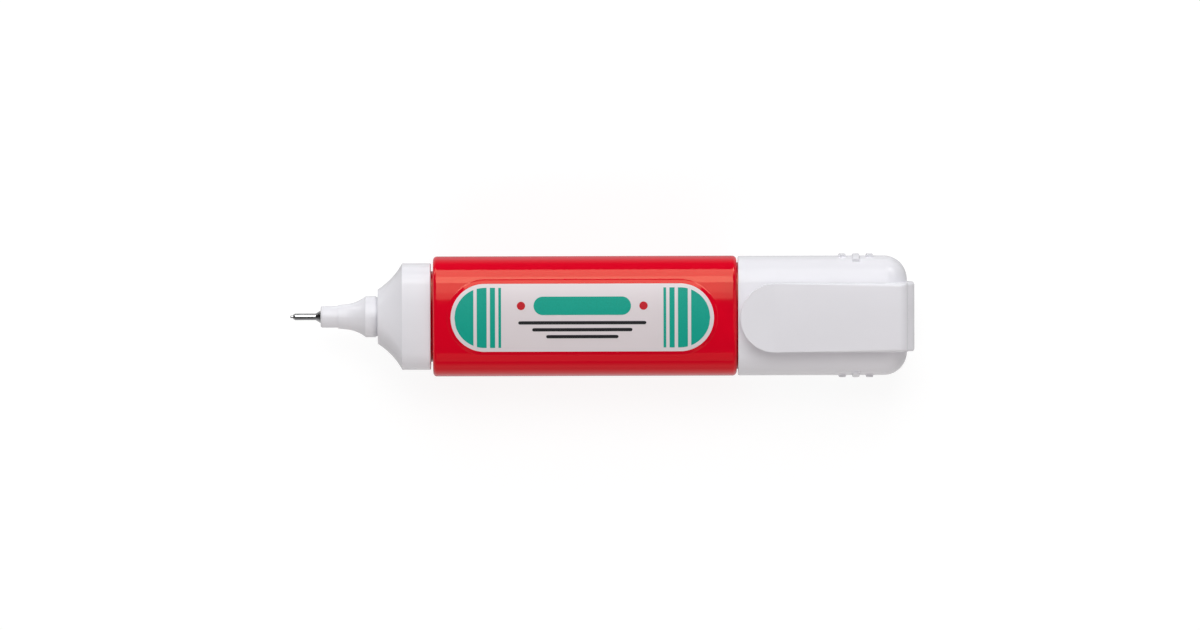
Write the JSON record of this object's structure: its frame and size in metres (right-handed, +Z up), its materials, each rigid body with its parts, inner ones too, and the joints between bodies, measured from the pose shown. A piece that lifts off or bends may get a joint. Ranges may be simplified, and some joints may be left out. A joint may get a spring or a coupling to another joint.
{
  "type": "correction pen",
  "caption": "Oval squeeze correction pen with a steel valve tip, a flared collar, a front label, and a clip cap posted on its rear end.",
  "frame": {"origin": "on the surface that the pen lies on, under the middle of its length and width", "axes": "+X from the steel tip to the cap's closed end, +Z up out of the labelled face and the clip"},
  "size_m": [0.1122, 0.0222, 0.0188],
  "materials": {
    "red_plastic": "glossy moulded red",
    "white_plastic": "satin moulded white",
    "natural_plastic": "undyed milky plastic",
    "steel": "bright turned steel",
    "seal_rubber": "matt black",
    "label_film": "printed off-white film"
  },
  "bodies": {
    "pen": {"barrel": "red_plastic", "front_label": "label_film", "front_collar": "white_plastic", "nozzle": "white_plastic", "neck_seal": "seal_rubber", "metal_tip": "steel", "needle_spring": "steel", "spring_seat": "natural_plastic"},
    "needle": {"valve_needle": "steel"},
    "ball": {"mixing_ball": "steel"},
    "cap": {"cap_shell": "white_plastic", "inner_cap": "natural_plastic"},
    "clip": {"cap_clip": "white_plastic"}
  },
  "joints": [
    {"name": "cap_pull", "type": "slide", "parent": "pen", "child": "cap", "axis": [1, 0, 0], "range_m": [0, 0.02]},
    {"name": "clip_flex", "type": "hinge", "parent": "cap", "child": "clip", "pos_m": [0.05248, 0, 0.01695], "axis": [0, 1, 0], "range_deg": [0, 4], "stiffness_Nm_per_rad": 2},
    {"name": "needle_press", "type": "slide", "parent": "pen", "child": "needle", "axis": [1, 0, 0], "range_m": [0, 0.0004], "stiffness_N_per_m": 150, "springref_m": -0.0015, "deforming": ["needle_spring"]},
    {"name": "ball_roll", "type": "slide", "parent": "pen", "child": "ball", "axis": [1, 0, 0], "range_m": [-0.0232, 0.0232]}
  ]
}
